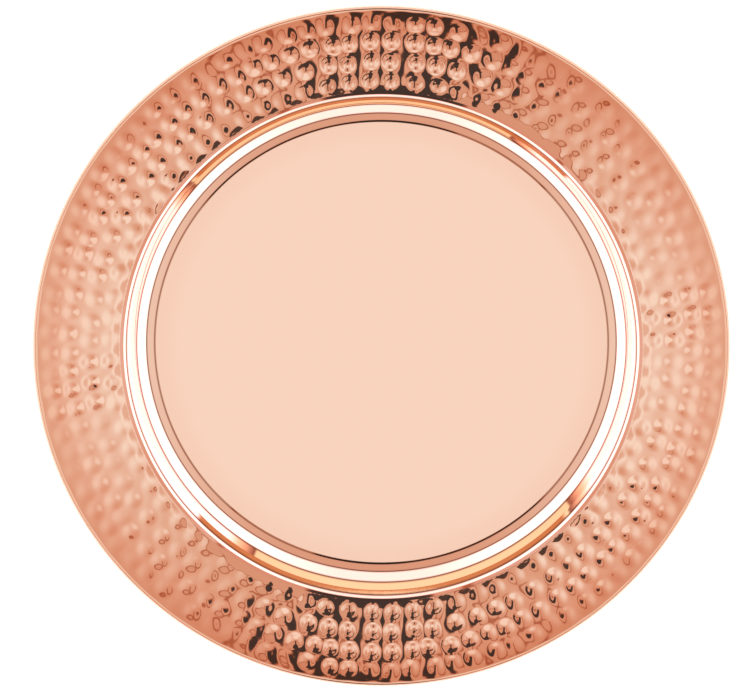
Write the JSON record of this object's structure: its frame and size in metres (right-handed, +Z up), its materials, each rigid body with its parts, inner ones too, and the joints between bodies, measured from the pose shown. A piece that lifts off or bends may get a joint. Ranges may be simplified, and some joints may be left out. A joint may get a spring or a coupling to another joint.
{
  "type": "round tray",
  "caption": "Round metal tray or charger plate with a flat well, coved wall, gently rising hammered rim and an edge rolled around a wire.",
  "frame": {"origin": "centre of the flat underside that the tray rests on", "axes": "+Z up, along the tray's axis of symmetry; +X and +Y in the plane of the underside"},
  "size_m": [0.3299, 0.33, 0.0178],
  "materials": {
    "copper": "mirror-polished copper, hammered on the rim",
    "wire": "plain drawn wire"
  },
  "bodies": {
    "root": {"tray_sheet": "copper", "rim_wire": "wire"}
  },
  "joints": []
}
